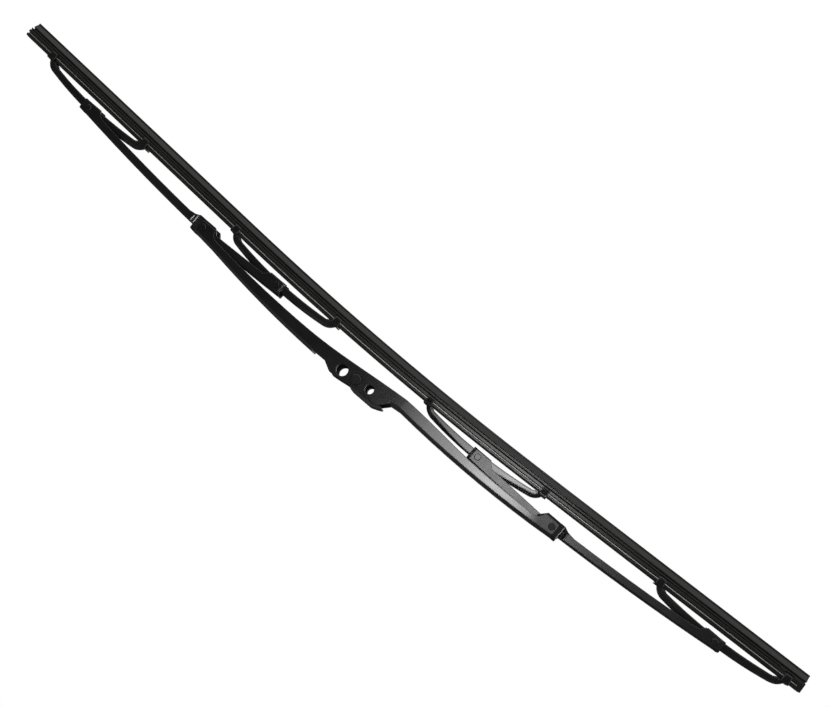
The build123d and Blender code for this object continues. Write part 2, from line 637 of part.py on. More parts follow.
left_crown_x = MIDDLE_X - LEFT_CROWN_REACH
right_crown_x = MIDDLE_X + RIGHT_CROWN_REACH
left_end_x = MIDDLE_X - MAIN_PIVOT_REACH - PAD_TIP
right_end_x = MIDDLE_X + MAIN_PIVOT_REACH + PAD_TIP
left_heel_x = MIDDLE_X - MAIN_PIVOT_REACH + PAD_HEEL
right_heel_x = MIDDLE_X + MAIN_PIVOT_REACH - PAD_HEEL
pad_z = MAIN_PIVOT_Z - PAD_DROP
left_keel_x = left_heel_x + PAD_STEP * 1.2
right_keel_x = right_heel_x - PAD_STEP * 1.2
with BuildPart() as primary_yoke:
    loft(sections=arm_sections(-1, CREASE_X, CREASE_TOP_Z, left_crown_x, LEFT_CROWN_Z), ruled=True)
    loft(
        sections=[
            channel_section(CREASE_X, CREASE_TOP_Z, hub_half),
            channel_section(CHEEK_LEFT_X, CHEEK_LEFT_Z, hub_half),
        ],
        ruled=True,
    )
    loft(sections=arm_sections(1, SLOT_END_X, RIGHT_ARM_TOP_Z, right_crown_x, RIGHT_CROWN_Z), ruled=True)
    for side_sign in SIDES.values():
        loft(sections=pad_sections(side_sign), ruled=True)
    for offset in (hub_inner_half, -hub_half):
        with BuildSketch(Plane.XZ.offset(offset)):
            with BuildLine():
                FilletPolyline(
                    (CHEEK_LEFT_X, CHEEK_LEFT_Z),
                    (CHEEK_SHOULDER_X, CHEEK_SHOULDER_Z),
                    (CHEEK_SADDLE_X, CHEEK_SADDLE_Z),
                    (CHEEK_CREST_X, CHEEK_CREST_Z),
                    (CHEEK_PEAK_X, CHEEK_PEAK_Z),
                    (CHEEK_RIGHT_X, CHEEK_RIGHT_Z),
                    (SLOT_END_X, SLOT_END_Z),
                    (SLOT_END_X, CREASE_KEEL_Z - PAST),
                    (CHEEK_LEFT_X, CREASE_KEEL_Z - PAST),
                    radius=[0, 3.0, 6.0, 6.0, 3.0, 1.5, 0, 0, 0],
                    close=True,
                )
            make_face()
        extrude(amount=PRIMARY_WALL)
    with BuildSketch(Plane.XZ):
        with BuildLine():
            left_keel = Spline(
                (left_keel_x, LEFT_KEEL_Z),
                (left_keel_x * 0.72 + CREASE_X * 0.28, LEFT_KEEL_CROWN_Z),
                (left_keel_x * 0.5 + CREASE_X * 0.5, LEFT_KEEL_CROWN_Z * 0.9 + CREASE_KEEL_Z * 0.1),
                (left_keel_x * 0.3 + CREASE_X * 0.7, LEFT_KEEL_CROWN_Z * 0.5 + CREASE_KEEL_Z * 0.5),
                (CREASE_X, CREASE_KEEL_Z),
            )
            right_keel = Spline(
                (CREASE_X, CREASE_KEEL_Z),
                (MIDDLE_X, CREASE_KEEL_Z + (MIDDLE_X - CREASE_X) * HUB_KEEL_SLOPE),
                (SLOT_END_X - 5.0, CREASE_KEEL_Z + (SLOT_END_X - 5.0 - CREASE_X) * HUB_KEEL_SLOPE),
                (right_keel_x * 0.4 + SLOT_END_X * 0.6, RIGHT_KEEL_CROWN_Z),
                (right_keel_x * 0.7 + SLOT_END_X * 0.3, RIGHT_KEEL_CROWN_Z * 0.65 + RIGHT_KEEL_Z * 0.35),
                (right_keel_x, RIGHT_KEEL_Z),
            )
            FilletPolyline(
                right_keel @ 1,
                (right_heel_x - PAD_STEP * 0.4, (RIGHT_KEEL_Z * 2 + pad_z) / 3),
                (right_heel_x, pad_z),
                (right_end_x, pad_z),
                (right_end_x, CHEEK_PEAK_Z + PAST),
                (left_end_x, CHEEK_PEAK_Z + PAST),
                (left_end_x, pad_z),
                (left_heel_x, pad_z),
                (left_heel_x + PAD_STEP * 0.4, (LEFT_KEEL_Z * 2 + pad_z) / 3),
                left_keel @ 0,
                radius=[0, 0, PAD_CORNER, 0, 0, PAD_CORNER, 0, 0],
            )
        make_face()
    extrude(amount=HUB_WIDTH, both=True, mode=Mode.INTERSECT)
    with BuildSketch(Plane.XZ):
        Circle(SIDE_PIN_BORE / 2)
        with Locations((SMALL_BORE_X, SMALL_BORE_Z)):
            Circle(SMALL_BORE / 2)
        with Locations((CROSS_PIN_X, CROSS_PIN_Z)):
            Circle(CROSS_PIN_DIAMETER / 2)
        with Locations(
            (MIDDLE_X - MAIN_PIVOT_REACH, MAIN_PIVOT_Z),
            (MIDDLE_X + MAIN_PIVOT_REACH, MAIN_PIVOT_Z),
        ):
            Circle(MAIN_RIVET_DIAMETER / 2)
    extrude(amount=HUB_WIDTH, both=True, mode=Mode.SUBTRACT)
primary_yoke.part.label = "primary_yoke"
export_step(primary_yoke.part, "parts/primary_yoke.step")

# Main rivets and the cross-pin of the hub
for end, side_sign in SIDES.items():
    rivet_x = MIDDLE_X + side_sign * MAIN_PIVOT_REACH
    with BuildPart() as main_rivet:
        add(rivet(rivet_x, MAIN_PIVOT_Z, MAIN_RIVET_DIAMETER, MAIN_RIVET_HEAD, PAD_WIDTH, RIVET_HEAD_HEIGHT))
    main_rivet.part.label = f"main_rivet_{end}"
    export_step(main_rivet.part, f"parts/main_rivet_{end}.step")
with BuildPart() as cross_pin:
    add(rivet(CROSS_PIN_X, CROSS_PIN_Z, CROSS_PIN_DIAMETER, CROSS_PIN_HEAD, HUB_WIDTH, CROSS_PIN_HEAD_HEIGHT))
cross_pin.part.label = "cross_pin"
export_step(cross_pin.part, "parts/cross_pin.step")

# Main liners: plastic cheeks between primary and secondary, with a collar and a sleeve past the pad
liner_inner = secondary_half + LINER_PLAY
liner_wall = pad_inner_half - liner_inner
liner_low = pad_z - LINER_SHOW
liner_top = MAIN_PIVOT_Z + PAD_END_RISE
for end, side_sign in SIDES.items():
    collar_start = MAIN_PIVOT_REACH + PAD_TIP
    collar_end = collar_start + LINER_COLLAR
    sleeve_end = collar_end + LINER_SLEEVE
    heel = MAIN_PIVOT_REACH - PAD_HEEL
    root = heel - LINER_HEEL
    cheek_top = liner_top - PRIMARY_WALL - LINER_PLAY * 2
    cheek = [
        (root, cheek_top),
        (collar_end, cheek_top),
        (collar_end + 0.5, liner_top - LINER_SHOW * 2.2),
        (sleeve_end, liner_top - LINER_SHOW * 2.4),
        (sleeve_end, liner_low + LINER_SHOW * 1.25),
        (collar_end, liner_low),
        (heel + LINER_TOE, liner_low),
        (root, liner_low + LINER_HEEL_RISE),
    ]
    with BuildPart() as main_liner:
        for offset in (liner_inner, -pad_inner_half):
            with BuildSketch(Plane.XZ.offset(offset)):
                with BuildLine():
                    Polyline(*[(MIDDLE_X + side_sign * reach, z) for reach, z in cheek], close=True)
                make_face()
            extrude(amount=liner_wall)
        collar_x = MIDDLE_X + side_sign * collar_start
        with BuildSketch(Plane(origin=(collar_x, 0, 0), x_dir=(0, 1, 0), z_dir=(1, 0, 0))):
            with BuildLine():
                Polyline(
                    (-pad_half, liner_low),
                    *bent_top(pad_half, liner_top, PRIMARY_BEND),
                    (pad_half, liner_low),
                    (liner_inner, liner_low),
                    (liner_inner, liner_top - LINER_BRIDGE),
                    (-liner_inner, liner_top - LINER_BRIDGE),
                    (-liner_inner, liner_low),
                    close=True,
                )
            make_face()
        extrude(amount=side_sign * LINER_COLLAR)
        rib_half = LINER_RIB_PITCH * 0.45
        with BuildSketch(Plane.XY.offset(MAIN_PIVOT_Z)):
            for rib in range(LINER_RIBS):
                groove_x = MIDDLE_X + side_sign * (collar_end + LINER_RIB_PITCH * (rib + 0.6))
                for across in (-1, 1):
                    with BuildLine():
                        Polyline(
                            (groove_x - rib_half, across * pad_inner_half),
                            (groove_x, across * (pad_inner_half - LINER_RIB_DEPTH)),
                            (groove_x + rib_half, across * pad_inner_half),
                            (groove_x - rib_half, across * pad_inner_half),
                        )
                    make_face()
        extrude(amount=PAST, both=True, mode=Mode.SUBTRACT)
        with BuildSketch(Plane.XZ):
            with Locations((MIDDLE_X + side_sign * MAIN_PIVOT_REACH, MAIN_PIVOT_Z)):
                Circle(MAIN_RIVET_DIAMETER / 2)
        extrude(amount=PAST, both=True, mode=Mode.SUBTRACT)
    main_liner.part.label = f"main_liner_{end}"
    export_step(main_liner.part, f"parts/main_liner_{end}.step")

# Arm adapter: a plastic block that snaps on the cross-pin between the hub's cheeks
ring_radius = CROSS_PIN_DIAMETER / 2 + ADAPTER_RING
adapter_half = hub_inner_half - ADAPTER_PLAY
adapter_left = CROSS_PIN_X - ADAPTER_LENGTH
under_z = SMALL_BORE_Z + SMALL_BORE / 2 + BORE_MARGIN
with BuildPart() as arm_adapter:
    with BuildSketch(Plane.XZ):
        with BuildLine():
            FilletPolyline(
                (adapter_left - ADAPTER_TAB, under_z + ADAPTER_WALL * 0.1),
                (adapter_left, under_z),
                (CROSS_PIN_X - ring_radius * 0.9, under_z),
                (CROSS_PIN_X - ring_radius * 0.9, CROSS_PIN_Z),
                (CROSS_PIN_X + ring_radius * 0.9, CROSS_PIN_Z),
                (CROSS_PIN_X + ring_radius * 0.6, ADAPTER_TOP_Z - ADAPTER_NOSE * 1.8),
                (CROSS_PIN_X - ring_radius * 0.3, ADAPTER_TOP_Z),
                (adapter_left + ADAPTER_LENGTH * 0.2, ADAPTER_TOP_Z),
                (adapter_left, ADAPTER_TOP_Z - ADAPTER_NOSE),
                (adapter_left - ADAPTER_TAB, under_z + ADAPTER_WALL * 0.6),
                radius=[0, 0, 0, 0, 0, 0.6, 1.5, 2.0, 1.0, 0],
                close=True,
            )
        make_face()
        with Locations((CROSS_PIN_X, CROSS_PIN_Z)):
            Circle(ring_radius)
            Circle(CROSS_PIN_DIAMETER / 2 + PIVOT_PLAY, mode=Mode.SUBTRACT)
        with Locations((CROSS_PIN_X, CROSS_PIN_Z - ring_radius)):
            Rectangle(ADAPTER_MOUTH, ring_radius * 2, mode=Mode.SUBTRACT)
    extrude(amount=adapter_half, both=True)
arm_adapter.part.label = "arm_adapter"
export_step(arm_adapter.part, "parts/arm_adapter.step")
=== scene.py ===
from math import cos, radians, sin

import bmesh
import bpy
from mathutils import Matrix, Vector


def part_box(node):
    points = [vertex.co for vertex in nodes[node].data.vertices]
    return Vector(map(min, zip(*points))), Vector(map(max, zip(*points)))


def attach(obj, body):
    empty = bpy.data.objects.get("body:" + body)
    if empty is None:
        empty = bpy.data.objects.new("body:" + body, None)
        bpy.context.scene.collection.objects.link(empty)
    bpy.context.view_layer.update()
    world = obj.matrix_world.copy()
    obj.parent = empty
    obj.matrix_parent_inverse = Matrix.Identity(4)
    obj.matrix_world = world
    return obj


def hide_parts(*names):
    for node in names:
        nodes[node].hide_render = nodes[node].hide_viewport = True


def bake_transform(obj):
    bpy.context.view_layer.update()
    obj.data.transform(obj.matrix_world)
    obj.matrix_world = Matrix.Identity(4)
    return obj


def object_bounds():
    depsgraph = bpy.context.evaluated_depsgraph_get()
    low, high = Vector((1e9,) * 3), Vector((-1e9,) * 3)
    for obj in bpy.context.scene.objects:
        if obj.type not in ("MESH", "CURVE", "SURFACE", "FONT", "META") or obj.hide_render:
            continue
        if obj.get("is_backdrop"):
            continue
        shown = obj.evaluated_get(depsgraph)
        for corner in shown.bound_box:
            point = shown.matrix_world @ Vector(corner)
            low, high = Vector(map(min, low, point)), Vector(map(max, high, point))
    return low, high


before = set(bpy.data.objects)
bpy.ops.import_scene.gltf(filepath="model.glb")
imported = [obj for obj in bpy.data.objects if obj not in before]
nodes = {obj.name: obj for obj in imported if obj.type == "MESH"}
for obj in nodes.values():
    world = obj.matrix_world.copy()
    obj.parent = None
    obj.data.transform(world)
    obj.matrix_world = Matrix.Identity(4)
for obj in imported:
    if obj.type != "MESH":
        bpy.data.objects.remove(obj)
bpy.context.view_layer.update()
scene = bpy.context.scene
scene.view_settings.view_transform = "Standard"

# Camera: in front of the blade's side, a little towards the locked end and above the spine,
# and rolled, so that the blade lies across the picture from one corner to the other.
azimuth, elevation, roll = radians(-9.736), radians(5.186), radians(-138.82)
aim, distance = Vector((-0.02136, 0.0, -0.03117)), 0.63683
back = Vector((sin(azimuth) * cos(elevation), -cos(azimuth) * cos(elevation), sin(elevation)))
camera = bpy.data.objects.new("camera", bpy.data.cameras.new("camera"))
scene.collection.objects.link(camera)
camera.matrix_world = (
    Matrix.Translation(aim + back * distance)
    @ back.to_track_quat("Z", "Y").to_matrix().to_4x4()
    @ Matrix.Rotation(roll, 4, "Z")
)
focal_pixels, picture_width, sensor_width = 1224.87, 828, 36.0
camera.data.sensor_width = sensor_width
camera.data.lens = focal_pixels / picture_width * sensor_width
camera.data.clip_start, camera.data.clip_end = 0.01, 20.0
scene.camera = camera

# Studio: two upright softboxes beside the camera, whose reflections run along the locked half of
# the blade, a large weak one overhead, and a white floor and backdrop below the line of sight.
for name, place, target, size, watts in (
    ("key_softbox", (-0.081, -0.66, -0.045), (-0.09, 0.0, -0.006), (0.062, 0.13), 0.317),
    ("broad_softbox", (-0.0465, -0.665, -0.045), (-0.08, 0.0, -0.006), (0.157, 0.13), 0.4),
    ("overhead_softbox", (0.25, -0.75, 1.0), (0.0, 0.0, 0.0), (0.9, 0.9), 0.7),
):
    lamp = bpy.data.lights.new(name, "AREA")
    lamp.shape = "RECTANGLE"
    lamp.size, lamp.size_y = size
    lamp.energy = watts
    lamp_object = bpy.data.objects.new(name, lamp)
    scene.collection.objects.link(lamp_object)
    lamp_object.location = place
    lamp_object.rotation_euler = (Vector(place) - Vector(target)).to_track_quat("Z", "Y").to_euler()

# The world is white to the camera, and white behind and below in mirrored rays, but dim elsewhere.
world = bpy.data.worlds.new("studio")
scene.world = world
world.use_nodes = True
tree = world.node_tree
background = tree.nodes["Background"]
rays = tree.nodes.new("ShaderNodeLightPath")
direction = tree.nodes.new("ShaderNodeTexCoord")
parts = tree.nodes.new("ShaderNodeSeparateXYZ")
tree.links.new(direction.outputs["Generated"], parts.inputs[0])
behind = tree.nodes.new("ShaderNodeMapRange")
behind.interpolation_type = "SMOOTHSTEP"
behind.inputs["From Min"].default_value, behind.inputs["From Max"].default_value = 0.1, 0.6
tree.links.new(parts.outputs["Y"], behind.inputs["Value"])
below = tree.nodes.new("ShaderNodeMapRange")
below.interpolation_type = "SMOOTHSTEP"
below.inputs["From Min"].default_value, below.inputs["From Max"].default_value = 0.06, -0.1
tree.links.new(parts.outputs["Z"], below.inputs["Value"])
backdrop = tree.nodes.new("ShaderNodeMath")
backdrop.operation = "MULTIPLY"
tree.links.new(behind.outputs["Result"], backdrop.inputs[0])
tree.links.new(below.outputs["Result"], backdrop.inputs[1])
mirrored = tree.nodes.new("ShaderNodeMath")
mirrored.operation = "MAXIMUM"
tree.links.new(rays.outputs["Is Glossy Ray"], mirrored.inputs[0])
tree.links.new(rays.outputs["Is Transmission Ray"], mirrored.inputs[1])
seen_in_gloss = tree.nodes.new("ShaderNodeMath")
seen_in_gloss.operation = "MULTIPLY"
tree.links.new(mirrored.outputs[0], seen_in_gloss.inputs[0])
tree.links.new(backdrop.outputs[0], seen_in_gloss.inputs[1])
white = tree.nodes.new("ShaderNodeMath")
white.operation = "MAXIMUM"
tree.links.new(rays.outputs["Is Camera Ray"], white.inputs[0])
tree.links.new(seen_in_gloss.outputs[0], white.inputs[1])
level = tree.nodes.new("ShaderNodeMapRange")
level.inputs["To Max"].default_value = 1.0
dim = tree.nodes.new("ShaderNodeMapRange")
ambient, ambient_in_gloss = 0.6, 0.05
dim.inputs["To Min"].default_value, dim.inputs["To Max"].default_value = ambient, ambient_in_gloss
tree.links.new(mirrored.outputs[0], dim.inputs["Value"])
tree.links.new(dim.outputs["Result"], level.inputs["To Min"])
tree.links.new(white.outputs[0], level.inputs["Value"])
tree.links.new(level.outputs["Result"], background.inputs["Strength"])
background.inputs["Color"].default_value = (1, 1, 1, 1)

# The floor is white to the camera and in mirrored rays, and grey paper to the rest of the light.
floor_mesh = bpy.data.meshes.new("floor")
floor_build = bmesh.new()
floor_radius, floor_centre, floor_glow = 1.4, (0, 0.65, -0.32), 0.85
bmesh.ops.create_circle(floor_build, cap_ends=True, radius=floor_radius, segments=96)
bmesh.ops.translate(floor_build, verts=floor_build.verts, vec=floor_centre)
floor_build.to_mesh(floor_mesh)
floor_build.free()
floor = bpy.data.objects.new("floor", floor_mesh)
scene.collection.objects.link(floor)
floor_paper = bpy.data.materials.new("floor_paper")
floor_paper.use_nodes = True
tree = floor_paper.node_tree
paper = tree.nodes["Principled BSDF"]
paper.inputs["Base Color"].default_value = (0.55, 0.55, 0.55, 1)
paper.inputs["Roughness"].default_value = 0.9
rays = tree.nodes.new("ShaderNodeLightPath")
seen = tree.nodes.new("ShaderNodeMath")
seen.operation = "MAXIMUM"
tree.links.new(rays.outputs["Is Camera Ray"], seen.inputs[0])
tree.links.new(rays.outputs["Is Glossy Ray"], seen.inputs[1])
seen_too = tree.nodes.new("ShaderNodeMath")
seen_too.operation = "MAXIMUM"
tree.links.new(seen.outputs[0], seen_too.inputs[0])
tree.links.new(rays.outputs["Is Transmission Ray"], seen_too.inputs[1])
glow = tree.nodes.new("ShaderNodeMath")
glow.operation = "MULTIPLY"
glow.inputs[1].default_value = floor_glow
tree.links.new(seen_too.outputs[0], glow.inputs[0])
tree.links.new(glow.outputs[0], paper.inputs["Emission Strength"])
paper.inputs["Emission Color"].default_value = (1, 1, 1, 1)
floor.data.materials.append(floor_paper)
floor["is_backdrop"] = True


# Pressed yokes and claws: cold-rolled steel strip, blanked, folded into channels and dipped in
# black paint. The paint has a fine orange peel, thins at the blanked edges and carries some dust.
def black_paint(name, darkest, lightest, roughness, edge_tone, bend, dull):
    """Paint with its edges' bend radius, and a zone (axis, start, stop, amount) that is duller."""
    material = bpy.data.materials.new(name)
    material.use_nodes = True
    tree = material.node_tree
    coat = tree.nodes["Principled BSDF"]
    coat.inputs["Specular IOR Level"].default_value = 0.55
    place = tree.nodes.new("ShaderNodeTexCoord")

    clouds = tree.nodes.new("ShaderNodeTexNoise")
    clouds.inputs["Scale"].default_value = 38.0
    clouds.inputs["Detail"].default_value = 5.0
    tree.links.new(place.outputs["Object"], clouds.inputs["Vector"])
    tone = tree.nodes.new("ShaderNodeValToRGB")
    tone.color_ramp.elements[0].position, tone.color_ramp.elements[1].position = 0.32, 0.7
    tone.color_ramp.elements[0].color = (*darkest, 1)
    tone.color_ramp.elements[1].color = (*lightest, 1)
    tree.links.new(clouds.outputs["Fac"], tone.inputs["Fac"])

    specks = tree.nodes.new("ShaderNodeTexNoise")
    specks.inputs["Scale"].default_value = 2100.0
    specks.inputs["Detail"].default_value = 1.0
    tree.links.new(place.outputs["Object"], specks.inputs["Vector"])
    dust = tree.nodes.new("ShaderNodeMapRange")
    dust.inputs["From Min"].default_value, dust.inputs["From Max"].default_value = 0.72, 0.84
    dust.inputs["To Max"].default_value = 0.3
    tree.links.new(specks.outputs["Fac"], dust.inputs["Value"])
    dusty = tree.nodes.new("ShaderNodeMix")
    dusty.data_type = "RGBA"
    tree.links.new(dust.outputs["Result"], dusty.inputs["Factor"])
    tree.links.new(tone.outputs["Color"], dusty.inputs["A"])
    dusty.inputs["B"].default_value = (0.05, 0.05, 0.048, 1)

    rounding = tree.nodes.new("ShaderNodeBevel")
    rounding.samples = 4
    rounding.inputs["Radius"].default_value = bend
    true_face = tree.nodes.new("ShaderNodeNewGeometry")
    edge = tree.nodes.new("ShaderNodeVectorMath")
    edge.operation = "DOT_PRODUCT"
    tree.links.new(rounding.outputs["Normal"], edge.inputs[0])
    tree.links.new(true_face.outputs["Normal"], edge.inputs[1])
    worn = tree.nodes.new("ShaderNodeMapRange")
    worn.inputs["From Min"].default_value, worn.inputs["From Max"].default_value = 0.99, 0.8
    tree.links.new(edge.outputs["Value"], worn.inputs["Value"])
    patchy = tree.nodes.new("ShaderNodeTexNoise")
    patchy.inputs["Scale"].default_value = 160.0
    tree.links.new(place.outputs["Object"], patchy.inputs["Vector"])
    rubbed = tree.nodes.new("ShaderNodeMath")
    rubbed.operation = "MULTIPLY"
    tree.links.new(worn.outputs["Result"], rubbed.inputs[0])
    tree.links.new(patchy.outputs["Fac"], rubbed.inputs[1])
    edged = tree.nodes.new("ShaderNodeMix")
    edged.data_type = "RGBA"
    tree.links.new(rubbed.outputs[0], edged.inputs["Factor"])
    tree.links.new(dusty.outputs["Result"], edged.inputs["A"])
    edged.inputs["B"].default_value = (*edge_tone, 1)
    tree.links.new(edged.outputs["Result"], coat.inputs["Base Color"])

    sheen = tree.nodes.new("ShaderNodeMapRange")
    sheen.inputs["To Min"].default_value = roughness - 0.03
    sheen.inputs["To Max"].default_value = roughness + 0.03
    tree.links.new(patchy.outputs["Fac"], sheen.inputs["Value"])
    axis, start, stop, amount = dull
    spot = tree.nodes.new("ShaderNodeSeparateXYZ")
    tree.links.new(place.outputs["Object"], spot.inputs[0])
    distance = spot.outputs[axis]
    if axis == "Y":
        both_sides = tree.nodes.new("ShaderNodeMath")
        both_sides.operation = "ABSOLUTE"
        tree.links.new(distance, both_sides.inputs[0])
        distance = both_sides.outputs[0]
    zone = tree.nodes.new("ShaderNodeMapRange")
    zone.interpolation_type = "SMOOTHSTEP"
    zone.inputs["From Min"].default_value, zone.inputs["From Max"].default_value = start, stop
    zone.inputs["To Max"].default_value = amount
    tree.links.new(distance, zone.inputs["Value"])
    duller = tree.nodes.new("ShaderNodeMath")
    tree.links.new(sheen.outputs["Result"], duller.inputs[0])
    tree.links.new(zone.outputs["Result"], duller.inputs[1])
    tree.links.new(duller.outputs[0], coat.inputs["Roughness"])

    peel = tree.nodes.new("ShaderNodeTexNoise")
    peel.inputs["Scale"].default_value = 380.0
    peel.inputs["Detail"].default_value = 1.0
    tree.links.new(place.outputs["Object"], peel.inputs["Vector"])
    relief = tree.nodes.new("ShaderNodeBump")
    relief.inputs["Strength"].default_value = 0.015
    relief.inputs["Distance"].default_value = 0.0001
    tree.links.new(peel.outputs["Fac"], relief.inputs["Height"])
    tree.links.new(rounding.outputs["Normal"], relief.inputs["Normal"])
    tree.links.new(relief.outputs["Normal"], coat.inputs["Normal"])
    return material


dark, light = (0.006, 0.006, 0.0063), (0.011, 0.011, 0.0113)
thin = (0.04, 0.04, 0.04)
locked_pad, locked_half = ("X", -0.118, -0.126, 0.19), ("X", -0.03, -0.06, 0.05)
primary_paint = black_paint("primary_paint", dark, light, 0.175, thin, 0.0007, locked_pad)
secondary_paint = black_paint("secondary_paint", dark, light, 0.22, thin, 0.0006, locked_half)
nodes["primary_yoke"].data.materials.clear()
nodes["primary_yoke"].data.materials.append(primary_paint)
for name in ("secondary_yoke_left", "secondary_yoke_right"):
    nodes[name].data.materials.clear()
    nodes[name].data.materials.append(secondary_paint)

# Claws: four bows pressed from thinner strip and painted like the yokes. Their tops are rolled over
# more and more towards the jaws, so each is a copy of its node with the roll's lower edge let down.
jaw_walls = ("Y", 0.0029, 0.0033, -0.08)
claw_paint = black_paint("claw_paint", dark, light, 0.2, thin, 0.0011, jaw_walls)
claw_half_width, deepest_roll, on_slope = 0.0028, 0.0014, 0.3
roll_start, roll_run = 0.008, 0.022
fade_start, fade_run, fade_share = 0.033, 0.0035, 0.7
for name in ("outer_left", "inner_left", "inner_right", "outer_right"):
    low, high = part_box(f"claw_rivet_{name}")
    pivot_x = (low.x + high.x) / 2
    bow = bmesh.new()
    bow.from_mesh(nodes[f"claw_{name}"].data)
    bmesh.ops.remove_doubles(bow, verts=bow.verts, dist=1e-6)
    for vertex in bow.verts:
        on_wall = abs(abs(vertex.co.y) - claw_half_width) < 2e-5
        normals = [face.normal for face in vertex.link_faces]
        if on_wall and any(abs(way.y) > on_slope and way.z > on_slope for way in normals):
            reach = abs(vertex.co.x - pivot_x)
            growth = min(max((reach - roll_start) / roll_run, 0.0), 1.0)
            fade = 1.0 - fade_share * min(max((reach - fade_start) / fade_run, 0.0), 1.0)
            vertex.co.z -= deepest_roll * growth * fade
    for face in bow.faces:
        face.smooth = True
    skin = bpy.data.meshes.new(f"claw_bow_{name}")
    bow.to_mesh(skin)
    bow.free()
    skin.set_sharp_from_angle(angle=radians(25))
    skin.materials.append(claw_paint)
    claw = bpy.data.objects.new(f"claw_bow_{name}", skin)
    scene.collection.objects.link(claw)
    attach(claw, f"claw_{name}")
    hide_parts(f"claw_{name}")


# Liners and arm adapter: injection-moulded black nylon, with a fine spark-eroded grain.
# The liners are pushed into the yokes' ends, and the adapter snaps on the hub's cross-pin.
def moulded_nylon(name, dark, light, roughness, grain, gloss):
    """Black nylon between two tones, with the scale of its eroded grain."""
    material = bpy.data.materials.new(name)
    material.use_nodes = True
    tree = material.node_tree
    plastic = tree.nodes["Principled BSDF"]
    plastic.inputs["Specular IOR Level"].default_value = gloss
    place = tree.nodes.new("ShaderNodeTexCoord")
    flow = tree.nodes.new("ShaderNodeTexNoise")
    flow.inputs["Scale"].default_value = 90.0
    flow.inputs["Detail"].default_value = 4.0
    tree.links.new(place.outputs["Object"], flow.inputs["Vector"])
    tone = tree.nodes.new("ShaderNodeValToRGB")
    tone.color_ramp.elements[0].position, tone.color_ramp.elements[1].position = 0.3, 0.72
    tone.color_ramp.elements[0].color = (*dark, 1)
    tone.color_ramp.elements[1].color = (*light, 1)
    tree.links.new(flow.outputs["Fac"], tone.inputs["Fac"])
    tree.links.new(tone.outputs["Color"], plastic.inputs["Base Color"])
    sheen = tree.nodes.new("ShaderNodeMapRange")
    sheen.inputs["To Min"].default_value = roughness - 0.06
    sheen.inputs["To Max"].default_value = roughness + 0.06
    tree.links.new(flow.outputs["Fac"], sheen.inputs["Value"])
    tree.links.new(sheen.outputs["Result"], plastic.inputs["Roughness"])
    eroded = tree.nodes.new("ShaderNodeTexVoronoi")
    eroded.inputs["Scale"].default_value = grain
    tree.links.new(place.outputs["Object"], eroded.inputs["Vector"])
    rounding = tree.nodes.new("ShaderNodeBevel")
    rounding.samples = 4
    rounding.inputs["Radius"].default_value = 0.0003
    relief = tree.nodes.new("ShaderNodeBump")
    relief.inputs["Strength"].default_value = 0.15
    relief.inputs["Distance"].default_value = 0.0001
    tree.links.new(eroded.outputs["Distance"], relief.inputs["Height"])
    tree.links.new(rounding.outputs["Normal"], relief.inputs["Normal"])
    tree.links.new(relief.outputs["Normal"], plastic.inputs["Normal"])
    return material


pale_black, jet_black = (0.01, 0.01, 0.0102), (0.005, 0.005, 0.0052)
liner_nylon = moulded_nylon("liner_nylon", jet_black, pale_black, 0.55, 1900.0, 0.2)
worn_dark, worn_light = (0.011, 0.011, 0.0115), (0.02, 0.02, 0.0205)
adapter_nylon = moulded_nylon("adapter_nylon", worn_dark, worn_light, 0.44, 1500.0, 0.35)
for name, node in nodes.items():
    if "_liner_" in name:
        node.data.materials.clear()
        node.data.materials.append(liner_nylon)
nodes["arm_adapter"].data.materials.clear()
nodes["arm_adapter"].data.materials.append(adapter_nylon)


# Rivets and cross-pin: steel, headed over on both sides by a spinning tool, which leaves a stepped
# crown, and painted with the yokes. The rivets are the pivots of the linkage.
locked_rivet, locked_claws = ("X", -0.1, -0.12, 0.5), ("X", -0.03, -0.06, 0.06)
nowhere, rivet_bend = ("X", -0.03, -0.06, 0.0), 0.0003
main_rivet_paint, claw_rivet_paint, pin_paint = (
    black_paint(name, dark, light, roughness, thin, rivet_bend, dull)
    for name, roughness, dull in (
        ("main_rivet_paint", 0.16, locked_rivet),
        ("claw_rivet_paint", 0.2, locked_claws),
        ("pin_paint", 0.18, nowhere),
    )
)

rivet_tree = bpy.data.node_groups.new("spun_rivet", "GeometryNodeTree")
rivet_tree.interface.new_socket("Pivots", in_out="INPUT", socket_type="NodeSocketGeometry")
for socket in ("Shank radius", "Head radius", "Head height", "Grip"):
    rivet_tree.interface.new_socket(socket, in_out="INPUT", socket_type="NodeSocketFloat")
rivet_tree.interface.new_socket("Finish", in_out="INPUT", socket_type="NodeSocketMaterial")
rivet_tree.interface.new_socket("Rivets", in_out="OUTPUT", socket_type="NodeSocketGeometry")
sizes = rivet_tree.nodes.new("NodeGroupInput")
result = rivet_tree.nodes.new("NodeGroupOutput")
joined = rivet_tree.nodes.new("GeometryNodeJoinGeometry")


def times(socket, factor):
    """A size of the rivet times a share, as a socket."""
    node = rivet_tree.nodes.new("ShaderNodeMath")
    node.operation = "MULTIPLY"
    rivet_tree.links.new(sizes.outputs[socket], node.inputs[0])
    node.inputs[1].default_value = factor
    return node.outputs[0]


